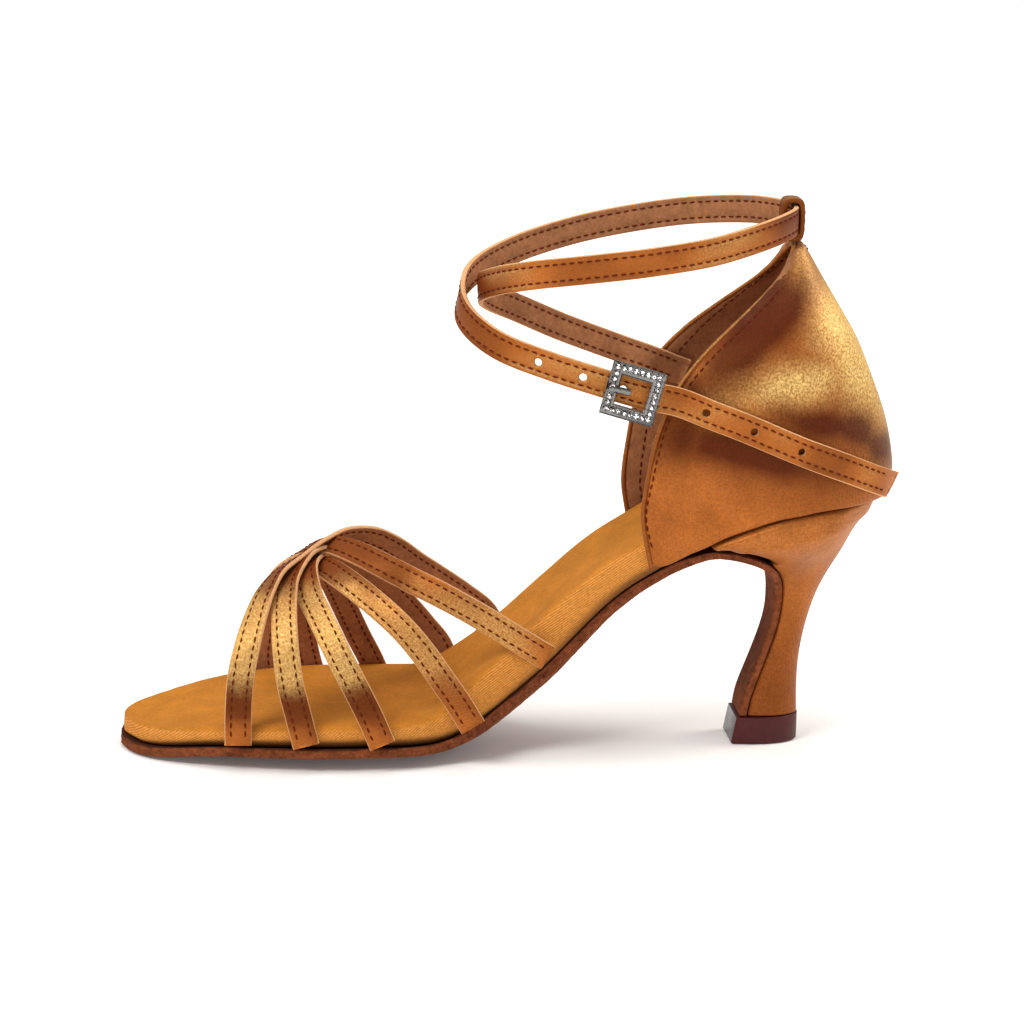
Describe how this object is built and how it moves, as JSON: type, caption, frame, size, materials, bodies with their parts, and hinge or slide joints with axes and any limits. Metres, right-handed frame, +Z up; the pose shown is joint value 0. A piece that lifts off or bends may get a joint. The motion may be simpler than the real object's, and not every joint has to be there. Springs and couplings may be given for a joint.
{
  "type": "ballroom dance sandal",
  "caption": "Open-toed dance sandal with crossed forefoot straps, a wrapped ankle strap with a square buckle, a closed counter and a flared heel.",
  "frame": {"origin": "on the floor under the ball of the foot, on the shoe's middle line", "axes": "+X to the heel, +Y to the inner side of the foot, +Z up"},
  "size_m": [0.2172, 0.0771, 0.1561],
  "materials": {
    "insole": "brushed suede",
    "outsole": "rough split suede",
    "heel_cover": "satin over a moulded block",
    "heel_tip": "semi-gloss",
    "satin_upper": "satin",
    "buckle_metal": "polished plate"
  },
  "bodies": {
    "root": {"insole": "insole", "outsole": "outsole", "heel": "heel_cover", "heel_tip": "heel_tip", "counter": "satin_upper", "vamp_straps": "satin_upper", "ankle_strap": "satin_upper", "back_loop": "satin_upper", "buckle_strap": "satin_upper", "buckle_frame": "buckle_metal", "buckle_prong": "buckle_metal"}
  },
  "joints": []
}
